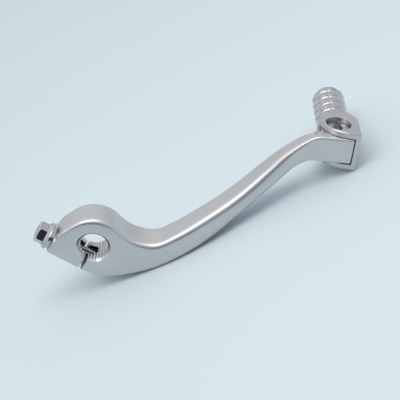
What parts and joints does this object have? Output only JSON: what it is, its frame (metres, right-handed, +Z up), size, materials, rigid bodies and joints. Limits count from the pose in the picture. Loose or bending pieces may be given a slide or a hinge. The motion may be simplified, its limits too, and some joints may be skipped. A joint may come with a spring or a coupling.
{
  "type": "folding gear lever",
  "caption": "Motorbike gear lever: a forged alloy arm that clamps on a serrated shaft with a pinch bolt, and a ribbed toe peg on a sprung pivot that folds back at the tip.",
  "frame": {"origin": "on the axis of the gear shaft bore, at the middle of the hub's thickness", "axes": "+X along the arm towards the folding tip, +Y along the bore's axis and outboard, away from the engine, +Z up; the lever stands on its lower edge"},
  "size_m": [0.1393, 0.0613, 0.0361],
  "materials": {
    "forged_alloy": "satin",
    "machined_alloy": "machined",
    "plated_steel": "bright zinc",
    "spring_steel": "drawn",
    "bronze": "turned"
  },
  "bodies": {
    "lever": {"lever_arm": "forged_alloy", "pinch_bolt": "plated_steel", "pinch_washer": "plated_steel", "pivot_bush": "bronze", "return_spring": "spring_steel"},
    "tip": {"toe_peg": "machined_alloy", "pivot_bolt": "plated_steel"}
  },
  "joints": [
    {"name": "tip_fold", "type": "hinge", "parent": "lever", "child": "tip", "pos_m": [0.105, 0.0173, -0.0085], "axis": [0.515, 0, 0.8572], "range_deg": [0, 40], "stiffness_Nm_per_rad": 0.15, "springref_deg": -85.94, "deforming": ["return_spring"]}
  ]
}
